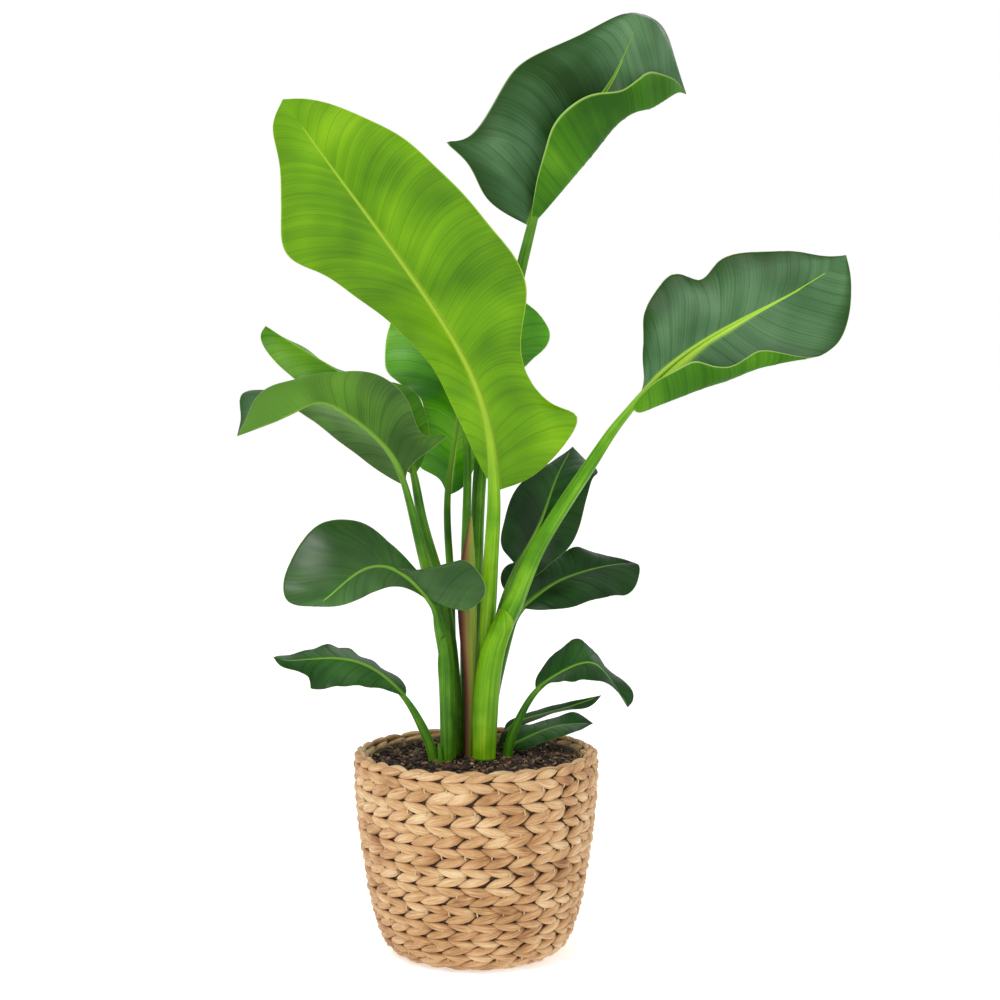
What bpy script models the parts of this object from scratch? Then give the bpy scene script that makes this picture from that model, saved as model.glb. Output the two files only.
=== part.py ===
"""Potted bird of paradise in its woven basket.

Frame: metres, +Z up, origin at the middle of the basket's flat underside, +X to the right,
+Y to the back. Points along leaves and stalks are written in millimetres and scaled by MM.
"""
import bpy
import numpy as np

MM = 0.001

# Driving dimensions, in millimetres.
RIM_HEIGHT = 206            # floor to the top of the rolled rim
BELLY_RADIUS = 124          # widest part of the basket, just under the rim
BASE_RADIUS = 78            # flat underside that the basket stands on
BASE_THICKNESS = 11
BASE_EDGE = 2               # chamfer round the base's upper corner
LINER_THICKNESS = 0.8
LINER_TOP = 200.5
LINER_CORNER = 0.6          # how far the liner's bottom corner is lifted, as a part of its inset
SOIL_TOP = 197
SOIL_FLAT_RADIUS = 92       # level middle of the soil
SOIL_SHOULDER = 1.5         # narrow slope between the level soil and the liner
SOIL_SETTLE = 3             # drop of the soil at the liner
GAP = 0.4                   # left between solids that touch
BLADE_THICKNESS = 1.6
TIP_HALF_WIDTH = 0.8
ANKLE = 1.5                 # upright length at the foot of each stalk

TURN_STEPS = 36
BLADE_ROWS = 13
HALF_COLUMNS = 3
STALK_RINGS = 9
FINE_STEPS = 400            # steps in which a curve's length is measured

WALL_OUTER = ((116, RIM_HEIGHT), (121.5, 204), (BELLY_RADIUS, 196), (BELLY_RADIUS, 184),
              (123, 160), (120.5, 132), (116.5, 102), (111.5, 70), (105.5, 42), (98.5, 20),
              (89.5, 6), (BASE_RADIUS + 0.5, 0))
WALL_INNER = ((BASE_RADIUS + 0.5, BASE_THICKNESS + 0.5), (84, 16), (91, 31), (96, 55), (101, 86),
              (104.5, 120), (107, 160), (108, 195), (111, 204))

# Each blade: midrib from the petiole to the tip, then the free margin of each half. A belly is
# the line half way across a half that folds or rolls. base is half the width at the petiole,
# and camber is how far a half bows out of flat, as a part of its width.
BLADES = {
    # The young paddle, flat to the front: straight on the left, with a shoulder low on the right.
    "front": {
        "midrib": ((20, -15, 466), (10, -30, 540), (-30, -60, 630), (-125, -115, 765),
                   (-175, -140, 835)),
        "left": ((5, -15, 490), (-35, -25, 575), (-70, -35, 620), (-150, -70, 680),
                 (-180, -90, 700), (-180, -120, 770), (-185, -135, 810)),
        "right": ((55, -10, 480), (90, -15, 515), (100, -20, 540), (80, -25, 550),
                  (45, -40, 600), (50, -60, 660), (30, -75, 705), (-50, -110, 790),
                  (-100, -125, 820), (-150, -140, 835)),
        "base": 5, "camber": -0.07},
    # The highest leaf: cupped, its right half rolled up to show the underside, tip hanging.
    "top": {
        "midrib": ((55, 60, 731), (85, 75, 810), (130, 90, 870), (150, 95, 905),
                   (165, 110, 940), (180, 120, 950), (200, 135, 925), (220, 140, 875)),
        "left": ((10, 50, 760), (-10, 45, 795), (-30, 45, 815), (-10, 50, 820), (35, 60, 885),
                 (80, 75, 915), (145, 105, 950), (170, 125, 957), (195, 145, 945),
                 (210, 150, 910)),
        "right_belly": ((85, 60, 765), (130, 70, 820), (160, 75, 850), (185, 95, 860),
                        (210, 125, 875)),
        "right": ((60, 50, 770), (70, 45, 810), (80, 45, 835), (100, 45, 855), (125, 50, 865),
                  (150, 60, 870), (175, 85, 890), (195, 105, 890), (210, 125, 885)),
        "base": 4, "camber": 0.03},
    # Upright and bright, mostly behind the young paddle; notched low on the left.
    "centre": {
        "midrib": ((-30, 55, 456), (-20, 60, 530), (-15, 80, 595), (-35, 120, 670),
                   (-55, 145, 700)),
        "left": ((-40, 55, 475), (-60, 50, 490), (-55, 55, 550), (-90, 75, 580), (-95, 90, 610),
                 (-90, 100, 635), (-80, 120, 670)),
        "right": ((-10, 60, 470), (10, 80, 540), (20, 90, 585), (15, 105, 630), (-5, 130, 675)),
        "base": 3, "camber": 0.05},
    # Small, close behind the young paddle; only its right point shows.
    "inner": {
        "midrib": ((-8, 30, 554), (10, 30, 620), (30, 35, 685)),
        "left": ((-20, 30, 570), (-30, 30, 600), (-20, 30, 640), (5, 35, 675)),
        "right": ((15, 30, 565), (50, 35, 590), (75, 40, 620), (65, 40, 640), (45, 40, 660)),
        "base": 3, "camber": 0.04},
    # Leans far out to the right: upper half open and waved, lower half folded under.
    "right": {
        "midrib": ((154, -22, 549), (185, -30, 585), (240, -45, 625), (295, -65, 655),
                   (335, -85, 680), (350, -100, 695)),
        "left": ((165, -15, 570), (165, -10, 620), (170, -10, 650), (195, -10, 680),
                 (220, -20, 675), (235, -25, 690), (260, -35, 700), (310, -60, 700),
                 (335, -80, 695)),
        "right_belly": ((160, -30, 545), (175, -35, 550), (235, -55, 575), (270, -70, 590),
                        (305, -80, 605), (330, -90, 635), (345, -95, 665)),
        "right": ((175, -45, 575), (200, -60, 590), (215, -65, 595), (245, -80, 590),
                  (270, -80, 605), (305, -90, 600), (335, -95, 605), (350, -100, 625),
                  (355, -100, 670)),
        "base": 4, "camber": 0.03},
    # Arches over to the left, both halves draped from the midrib, a spur on the right.
    "arching": {
        "midrib": ((-70, -15, 471), (-85, -25, 505), (-120, -50, 540), (-150, -65, 555),
                   (-175, -80, 545), (-225, -100, 525)),
        "left": ((-95, -10, 485), (-165, -30, 540), (-205, -40, 565), (-225, -55, 565),
                 (-225, -75, 545)),
        "right": ((-65, -10, 490), (-30, 10, 520), (-50, 5, 520), (-65, -5, 550),
                  (-85, -15, 575), (-110, -25, 585), (-165, -55, 580), (-205, -85, 565),
                  (-215, -95, 545)),
        "base": 4, "camber": -0.10},
    # Behind the arching leaf; only its pointed tip stands clear.
    "rear_left": {
        "midrib": ((-62, 8, 479), (-70, 10, 505), (-85, 10, 535), (-110, 20, 565),
                   (-175, 45, 605), (-215, 50, 630)),
        "left": ((-80, 0, 495), (-95, 0, 515), (-130, 10, 545), (-165, 20, 565),
                 (-205, 40, 595), (-220, 50, 620)),
        "right": ((-50, 15, 505), (-60, 35, 560), (-120, 50, 580), (-145, 50, 585),
                  (-170, 50, 605), (-200, 55, 620)),
        "base": 4, "camber": 0.06},
    # Its far half lies open to the left; its near half twists back over the stalks.
    "twisted": {
        "midrib": ((-42, -28, 354), (-65, -35, 380), (-90, -50, 395), (-115, -70, 390),
                   (-140, -85, 370), (-155, -85, 360)),
        "left": ((-55, -35, 365), (-80, -50, 375), (-115, -80, 365), (-135, -85, 360)),
        "right": ((-30, -30, 355), (-15, -40, 350), (0, -40, 355), (10, -45, 370),
                  (5, -40, 385), (-15, -35, 400), (-50, -25, 385), (-70, -20, 400),
                  (-100, -30, 430), (-130, -40, 440), (-155, -50, 435), (-180, -65, 400),
                  (-185, -80, 380), (-180, -85, 365)),
        "base": 3, "camber": 0.05},
    # Low and drawn out to a fine point, with a step in its lower margin.
    "low_left": {
        "midrib": ((-70, -25, 261), (-100, -35, 290), (-140, -55, 305), (-180, -70, 305),
                   (-195, -80, 310)),
        "left": ((-85, -40, 270), (-130, -70, 280), (-160, -80, 280), (-160, -80, 290),
                 (-185, -80, 300)),
        "right": ((-70, -15, 270), (-80, -10, 280), (-110, -20, 300), (-145, -35, 315),
                  (-175, -55, 310), (-190, -70, 310)),
        "base": 3, "camber": 0.04},
    # Low, arched over, its tip pointing down.
    "low_right": {
        "midrib": ((60, -5, 264), (80, -10, 280), (110, -20, 295), (125, -30, 290),
                   (150, -45, 255)),
        "left": ((60, 0, 275), (70, 10, 290), (85, 10, 305), (105, 5, 315), (130, -10, 290),
                 (155, -35, 270), (155, -40, 260)),
        "right": ((75, -20, 275), (95, -40, 280), (125, -45, 280), (145, -50, 265)),
        "base": 3, "camber": 0.04},
    # Lies just above the soil and the rim, in whole millimetres to stay clear of both.
    "low_broad": {
        "midrib": ((34, 20, 203), (50, 25, 210), (80, 35, 220), (120, 50, 221)),
        "left": ((24, 30, 212), (35, 38, 218), (70, 48, 224), (100, 54, 232), (110, 54, 228)),
        "right": ((45, 14, 200), (65, 14, 207), (100, 28, 216), (110, 38, 218)),
        "base": 3, "camber": 0.05},
    # A narrow one just above it.
    "low_narrow": {
        "midrib": ((28, 43, 211), (40, 48, 221), (75, 62, 230), (110, 76, 238), (130, 80, 245)),
        "left": ((30, 50, 220), (40, 55, 226), (75, 70, 235), (115, 80, 242)),
        "right": ((40, 42, 218), (55, 46, 223), (90, 62, 232), (115, 74, 233), (125, 78, 239)),
        "base": 2.5, "camber": 0.05},
    # Upright behind the right-hand stalk.
    "mid_right": {
        "midrib": ((41, 27, 387), (65, 40, 430), (80, 55, 470), (100, 95, 505)),
        "left": ((30, 25, 400), (25, 20, 412), (35, 30, 455), (50, 40, 475), (85, 80, 495)),
        "right": ((55, 20, 376), (75, 20, 390), (100, 30, 415), (120, 60, 475), (125, 70, 480),
                  (110, 90, 495)),
        "base": 3, "camber": 0.05},
    # Below it, held out level to the right.
    "mid_lower": {
        "midrib": ((45, 42, 342), (70, 50, 360), (90, 60, 370), (130, 80, 380), (165, 95, 383)),
        "left": ((32, 42, 357), (25, 45, 368), (30, 50, 384), (75, 75, 390), (105, 90, 400),
                 (130, 95, 392), (150, 95, 388)),
        "right": ((65, 35, 341), (100, 35, 345), (135, 50, 353), (160, 65, 356), (170, 90, 380)),
        "base": 3, "camber": 0.05},
}

# Each stalk, from just under its blade down to the soil: (x, y, z, radius). The last point is
# where it meets the soil.
STALKS = {
    "front": ((18, -15, 460, 6.5), (15, -8, 400, 7.5), (12, 0, 345, 8), (7, 8, 280, 8),
              (5, 8, SOIL_TOP, 7.5)),
    "top": ((55, 60, 727, 5), (30, 55, 625, 6.5), (12, 50, 545, 7), (2, 42, 455, 7),
            (-1, 32, 330, 7), (-3, 28, SOIL_TOP, 7)),
    "centre": ((-30, 55, 452, 3.5), (-27, 45, 380, 4), (-25, 37, 310, 4),
               (-19, 31, SOIL_TOP, 4)),
    "inner": ((-9, 29, 549, 3.5), (-9, 28, 500, 4), (-11, 24, 405, 4.5), (-12, 20, 270, 4.5),
              (-13, 19, SOIL_TOP, 4.5)),
    "right": ((150, -22, 545, 4), (135, -22, 526, 5), (110, -22, 488, 6.5), (60, -18, 407, 8),
              (38, -15, 355, 9.5), (18, -14, 310, 11), (9, -14, 235, 11.5),
              (8, -14, SOIL_TOP, 10.5)),
    "arching": ((-69, -15, 467, 3.5), (-50, -10, 390, 5.5), (-31, -5, 315, 6.5),
                (-27, -7, 265, 6.5), (-26, -9, SOIL_TOP, 6)),
    "rear_left": ((-61, 8, 474, 4), (-54, 10, 435, 5), (-40, 12, 385, 5.5), (-31, 12, 345, 6),
                  (-22, 9, 265, 6.5), (-21, 7, SOIL_TOP, 6)),
    "twisted": ((-41, -28, 350, 3), (-38, -25, 335, 4), (-33, -21, 308, 5), (-30, -22, 268, 5),
                (-29, -24, SOIL_TOP, 5)),
    "low_left": ((-69, -24, 258, 3), (-55, -20, 233, 4.5), (-46, -19, 212, 5),
                 (-42, -19, SOIL_TOP, 5)),
    "low_right": ((58, -5, 261, 3), (43, -4, 235, 4), (35, -3, 215, 5), (31, -2, SOIL_TOP, 5)),
    "low_broad": ((32, 20, 202.4, 2), (31, 20, 200.8, 2.2), (31, 20, SOIL_TOP, 2.4)),
    "low_narrow": ((27, 43, 209, 2), (25, 42, 204, 2.4), (24, 41, SOIL_TOP, 2.6)),
    "mid_right": ((40, 27, 383, 3), (23, 22, 335, 4), (17, 21, 300, 4), (14, 21, 250, 4.5),
                  (14, 21, SOIL_TOP, 4.5)),
    "mid_lower": ((44, 42, 338, 3), (35, 41, 318, 3.5), (26, 40, 284, 4), (18, 40, 243, 4),
                  (15, 40, SOIL_TOP, 4)),
}
NEW_LEAF_SHEATH = ((-5, -2, 440, 1), (-8, -2, 395, 7), (-9, -2, 350, 9.5), (-7, -3, 295, 7.5),
                   (-6, -3, 255, 6), (-8, -1, SOIL_TOP, 5))
SPROUT = ((-37, -32, 216, 1), (-36, -32, 209, 2), (-35, -32, SOIL_TOP, 2.5))

COLOURS = {
    "woven water hyacinth": ((0.56, 0.35, 0.17), 0.8),
    "liner film": ((0.30, 0.26, 0.20), 0.5),
    "potting soil": ((0.045, 0.022, 0.012), 0.95),
    "young leaf": ((0.25, 0.47, 0.01), 0.4),
    "grown leaf": ((0.05, 0.14, 0.03), 0.4),
    "bright leaf": ((0.10, 0.30, 0.02), 0.4),
    "low leaf": ((0.03, 0.10, 0.02), 0.4),
    "stalk": ((0.10, 0.28, 0.03), 0.45),
    "sheath": ((0.25, 0.14, 0.07), 0.5),
}
LOW_LEAVES = ("low_left", "low_right", "low_broad", "low_narrow", "mid_right", "mid_lower")


def clear_scene():
    """Remove what the scene already holds."""
    for thing in list(bpy.data.objects):
        bpy.data.objects.remove(thing, do_unlink=True)


def material(name):
    """A Principled material of the named colour and roughness."""
    found = bpy.data.materials.get(name)
    if found:
        return found
    colour, roughness = COLOURS[name]
    made = bpy.data.materials.new(name)
    made.use_nodes = True
    shader = made.node_tree.nodes["Principled BSDF"]
    shader.inputs["Base Color"].default_value = (*colour, 1.0)
    shader.inputs["Roughness"].default_value = roughness
    shader.inputs["Metallic"].default_value = 0.0
    return made


def add_object(name, data, finish):
    """Link an object into the plant's collection with its material."""
    thing = bpy.data.objects.new(name, data)
    data.materials.append(material(finish))
    plant.objects.link(thing)
    return thing


def smooth_through(points, count):
    """Points at equal parts of the length of a natural cubic through the given points."""
    points = np.array(points, dtype=float)
    chord = np.sqrt(np.linalg.norm(np.diff(points[:, :3], axis=0), axis=1))
    knots = np.concatenate(([0.0], np.cumsum(chord)))
    size = len(points)
    step = np.diff(knots)
    system = np.eye(size)
    pull = np.zeros_like(points)
    for i in range(1, size - 1):
        system[i, i - 1:i + 2] = step[i - 1], 2 * (step[i - 1] + step[i]), step[i]
        pull[i] = 6 * ((points[i + 1] - points[i]) / step[i]
                       - (points[i] - points[i - 1]) / step[i - 1])
    bend = np.linalg.solve(system, pull)

    def at(t):
        i = np.clip(np.searchsorted(knots, t, side="right") - 1, 0, size - 2)
        h, a, b = step[i][:, None], (knots[i + 1] - t)[:, None], (t - knots[i])[:, None]
        return (bend[i] * a ** 3 + bend[i + 1] * b ** 3) / (6 * h) \
            + (points[i] / h - bend[i] * h / 6) * a + (points[i + 1] / h - bend[i + 1] * h / 6) * b

    fine = np.linspace(0, knots[-1], FINE_STEPS)
    run = np.linalg.norm(np.diff(at(fine)[:, :3], axis=0), axis=1)
    length = np.concatenate(([0.0], np.cumsum(run)))
    return at(np.interp(np.linspace(0, length[-1], count), length, fine))


def unit(vectors):
    """Vectors scaled to length one."""
    return vectors / np.maximum(np.linalg.norm(vectors, axis=-1, keepdims=True), 1e-9)


def margin_line(midrib, margin, base):
    """A margin with its ends set just beside the midrib's ends."""
    midrib, margin = np.array(midrib, float), np.array(margin, float)
    first = midrib[0] + unit(margin[0] - midrib[0]) * base
    last = midrib[-1] + unit(margin[-1] - midrib[-1]) * TIP_HALF_WIDTH
    return smooth_through(np.vstack((first, margin, last)), BLADE_ROWS)


def half_surface(midrib, margin, belly):
    """Columns from the midrib to a margin, on parabolas that pass through the belly."""
    across = np.linspace(0, 1, HALF_COLUMNS + 1)[None, :, None]
    pull = 2 * belly - (midrib + margin) / 2
    return (1 - across) ** 2 * midrib[:, None] + 2 * across * (1 - across) * pull[:, None] \
        + across ** 2 * margin[:, None]


def leaf_blade(name, finish):
    """A blade lofted from margin to margin through its midrib, then thickened."""
    shape = BLADES[name]
    midrib = smooth_through(shape["midrib"], BLADE_ROWS)
    sides = {side: margin_line(shape["midrib"], shape[side], shape["base"])
             for side in ("left", "right")}
    normal = unit(np.cross(sides["right"] - sides["left"], np.gradient(midrib, axis=0)))
    halves = {}
    for side, margin in sides.items():
        width = np.linalg.norm(margin - midrib, axis=1, keepdims=True)
        belly = (midrib + margin) / 2 + normal * width * shape["camber"]
        if side + "_belly" in shape:
            belly = margin_line(shape["midrib"], shape[side + "_belly"], shape["base"] / 2)
        halves[side] = half_surface(midrib, margin, belly)
    grid = np.concatenate((halves["left"][:, :0:-1], halves["right"]), axis=1) * MM
    rows, columns = grid.shape[:2]
    index = np.arange(rows * columns).reshape(rows, columns)
    faces = np.stack((index[:-1, :-1], index[:-1, 1:], index[1:, 1:], index[1:, :-1]), axis=-1)
    mesh = bpy.data.meshes.new("blade_" + name)
    mesh.from_pydata(grid.reshape(-1, 3).tolist(), [], faces.reshape(-1, 4).tolist())
    mesh.shade_smooth()
    blade = add_object("blade_" + name, mesh, finish)
    skin = blade.modifiers.new("Thickness", "SOLIDIFY")
    skin.thickness = BLADE_THICKNESS * MM
    skin.offset = 0.0
    return blade


def stalk(name, route, finish):
    """A tapering round stalk along a smooth route, standing upright on the soil."""
    route = np.array(route, float)
    foot = route[-1].copy()
    foot[2] += GAP
    ankle = foot.copy()
    ankle[2] += ANKLE
    route = np.vstack((smooth_through(np.vstack((route[:-1], ankle)), STALK_RINGS), foot))
    curve = bpy.data.curves.new(name, "CURVE")
    curve.dimensions = "3D"
    curve.bevel_depth = MM
    curve.bevel_resolution = 2
    curve.use_fill_caps = True
    line = curve.splines.new("POLY")
    line.points.add(len(route) - 1)
    for point, (x, y, z, radius) in zip(line.points, route):
        point.co = (x * MM, y * MM, z * MM, 1.0)
        point.radius = radius
    return add_object(name, curve, finish)


def turned(name, profile, finish, closed=False):
    """A round solid: a profile of (radius, height) turned about +Z."""
    mesh = bpy.data.meshes.new(name)
    corners = [(r * MM, 0.0, z * MM) for r, z in profile]
    edges = [(i, i + 1) for i in range(len(corners) - 1)]
    if closed:
        edges.append((len(corners) - 1, 0))
    mesh.from_pydata(corners, edges, [])
    thing = add_object(name, mesh, finish)
    turn = thing.modifiers.new("Turn", "SCREW")
    turn.axis = "Z"
    turn.steps = TURN_STEPS
    turn.render_steps = TURN_STEPS
    turn.use_merge_vertices = True
    turn.merge_threshold = 0.00001
    turn.use_smooth_shade = True
    return thing


def basket_wall():
    """The plaited side with its rolled rim, as one ring."""
    return turned("basket_wall", WALL_OUTER + WALL_INNER, "woven water hyacinth", closed=True)


def basket_base():
    """The coiled plaited bottom inside the lowest ring of the wall."""
    profile = ((0, BASE_THICKNESS), (BASE_RADIUS - BASE_EDGE, BASE_THICKNESS),
               (BASE_RADIUS, BASE_THICKNESS - BASE_EDGE), (BASE_RADIUS, 0), (0, 0))
    return turned("basket_base", profile, "woven water hyacinth")


def liner_line(inset):
    """The wall's inner line moved in by inset, from the floor of the basket to the liner's top."""
    side = [(r - inset, z) for r, z in WALL_INNER[:-2]]
    side[0] = (side[0][0], BASE_THICKNESS + inset)
    side[1] = (side[1][0], side[1][1] + inset * LINER_CORNER)
    return side + [(WALL_INNER[-2][0] - inset, LINER_TOP)]


def basket_liner():
    """The thin film cup that keeps wet soil off the weave."""
    outside = liner_line(GAP)
    inside = liner_line(GAP + LINER_THICKNESS)
    profile = [(0, inside[0][1])] + inside + outside[::-1] + [(0, outside[0][1])]
    return turned("basket_liner", profile, "liner film")


def potting_soil():
    """The soil that fills the liner, level on top and settled at the edge."""
    side = liner_line(2 * GAP + LINER_THICKNESS)
    edge = side[-1][0]
    side[-1] = (edge, SOIL_TOP - SOIL_SETTLE)
    profile = [(0, SOIL_TOP), (SOIL_FLAT_RADIUS, SOIL_TOP), (edge - SOIL_SHOULDER, SOIL_TOP)]
    profile += side[::-1] + [(0, side[0][1])]
    return turned("potting_soil", profile, "potting soil")


def build_basket():
    """Basket, liner and soil."""
    basket_wall()
    basket_base()
    basket_liner()
    potting_soil()


def build_plant():
    """Every blade on its stalk, the rolled new leaf and the sprout."""
    finishes = dict.fromkeys(BLADES, "grown leaf")
    finishes["front"] = "young leaf"
    finishes["centre"] = "bright leaf"
    finishes.update(dict.fromkeys(LOW_LEAVES, "low leaf"))
    for name, finish in finishes.items():
        leaf_blade(name, finish)
        stalk("stalk_" + name, STALKS[name], "stalk")
    stalk("new_leaf_sheath", NEW_LEAF_SHEATH, "sheath")
    stalk("sprout", SPROUT, "stalk")


clear_scene()
plant = bpy.data.collections.new("potted_bird_of_paradise")
bpy.context.scene.collection.children.link(plant)
build_basket()
build_plant()
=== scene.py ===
from math import pi, radians

import bpy
import numpy as np
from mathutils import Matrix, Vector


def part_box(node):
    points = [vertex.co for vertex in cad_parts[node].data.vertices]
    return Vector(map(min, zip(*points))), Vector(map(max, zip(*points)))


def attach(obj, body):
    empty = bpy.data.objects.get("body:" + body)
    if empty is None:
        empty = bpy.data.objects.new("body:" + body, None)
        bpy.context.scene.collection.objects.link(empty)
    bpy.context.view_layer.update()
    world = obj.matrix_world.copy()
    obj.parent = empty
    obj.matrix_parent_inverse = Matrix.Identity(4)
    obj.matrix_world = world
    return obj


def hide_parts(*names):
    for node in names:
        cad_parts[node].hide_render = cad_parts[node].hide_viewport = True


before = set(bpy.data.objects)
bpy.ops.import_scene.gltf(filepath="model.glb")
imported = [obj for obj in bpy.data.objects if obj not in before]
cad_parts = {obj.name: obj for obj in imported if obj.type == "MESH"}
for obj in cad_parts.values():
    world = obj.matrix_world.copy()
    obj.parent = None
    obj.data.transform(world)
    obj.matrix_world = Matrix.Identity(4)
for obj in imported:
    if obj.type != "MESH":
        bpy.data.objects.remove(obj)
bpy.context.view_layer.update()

MM = 0.001

# ---------------------------------------------------------------- sizes shared with the frame
RIM_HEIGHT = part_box("basket_wall")[1].z / MM
SOIL_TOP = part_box("potting_soil")[1].z / MM
SOIL_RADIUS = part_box("potting_soil")[1].x / MM
LINER_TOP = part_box("basket_liner")[1].z / MM
BELLY_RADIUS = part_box("basket_wall")[1].x / MM
BASE_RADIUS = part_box("basket_base")[1].x / MM

# The basket's skin, from the inner face of the rim over the top, down the side and across the
# bottom to the middle.
BASKET_LINE = ((107.5, 186), (108, 197), (111, 204), (116, RIM_HEIGHT), (121.5, 204),
               (BELLY_RADIUS, 196), (BELLY_RADIUS, 184), (123, 160), (120.5, 132), (116.5, 102),
               (111.5, 70), (105.5, 42), (98.5, 20), (89.5, 6), (BASE_RADIUS, 0), (0, 0))

# The liner's outside from the middle of its bottom to its free edge, and the hidden side of
# the soil from its upper part down to the middle of its bottom.
LINER_LINE = ((0.5, 12), (76, 13), (83, 18), (90, 32), (95, 56), (100, 87), (103.5, 120),
              (106, 160), (107, 188), (107, 193), (107, 195), (107, 197),
              (107, LINER_TOP - 1.5))
SOIL_LINE = ((101, 120), (98, 86), (92, 50), (82, 20), (0.3, 14))

# Weave. A plait shows two half-rows of lobes: the upper rises to the right, the lower falls.
# Plaits are wide at the rim and narrow steadily towards the base.
TOP_PITCH = 23.0            # height of the highest plait
BASE_PITCH = 16.5
PITCH_FALL = 0.62           # each plait is this much narrower than the one above
LOBE_PITCH = 24.5           # spacing of the lobes along a plait
LOBE_LENGTH = 37.0
LOBE_HALF_THICKNESS = 4.0
TIP_RISE = 1.1              # a lobe's left tip lies on its neighbour, its right end dives under
LOBE_DIVE = 3.8
# For the upper and lower half-rows: half-width, slant in degrees, and the middle's distance
# from the plait's middle as a part of the plait's height.
UPPER_LOBE = (6.7, 16.5, -0.235)
LOWER_LOBE = (5.7, 13.5, 0.265)

# Leaves.
BLADE_ROWS = 110
HALF_COLUMNS = 26
BLADE_HALF_THICKNESS = 0.45
TIP_HALF_WIDTH = 0.8
PLEAT_PITCH = 14.0          # spacing of the creases along the side veins
VEIN_SWEEP = 0.55           # how far a side vein runs towards the tip, in half-widths
CREASE_DEPTH = 0.45
CREASE_WIDTH = 0.22         # as a part of the crease's swing
TISSUE_SWELL = 60           # length of the soft lumps in a blade
FINE_STEPS = 400

# Stalks and sheaths.
STALK_RINGS = 150
STALK_SIDES = 20
SHEATH_RINGS = 60
SHEATH_COLUMNS = 25
TIP_RINGS = 90
TIP_SIDES = 24
ROOTED = 1.5                # how far a stalk's foot stands below the soil's top

# Weave and grain meshes.
LOBE_STATIONS = 9
LOBE_SIDES = 8
STITCH_STATIONS = 6
TWINE_RADIUS = 0.8
GRAIN_RINGS = 5
GRAIN_SIDES = 7
EDGE_DROP = 2.2             # how far the soil falls at the liner

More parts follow.
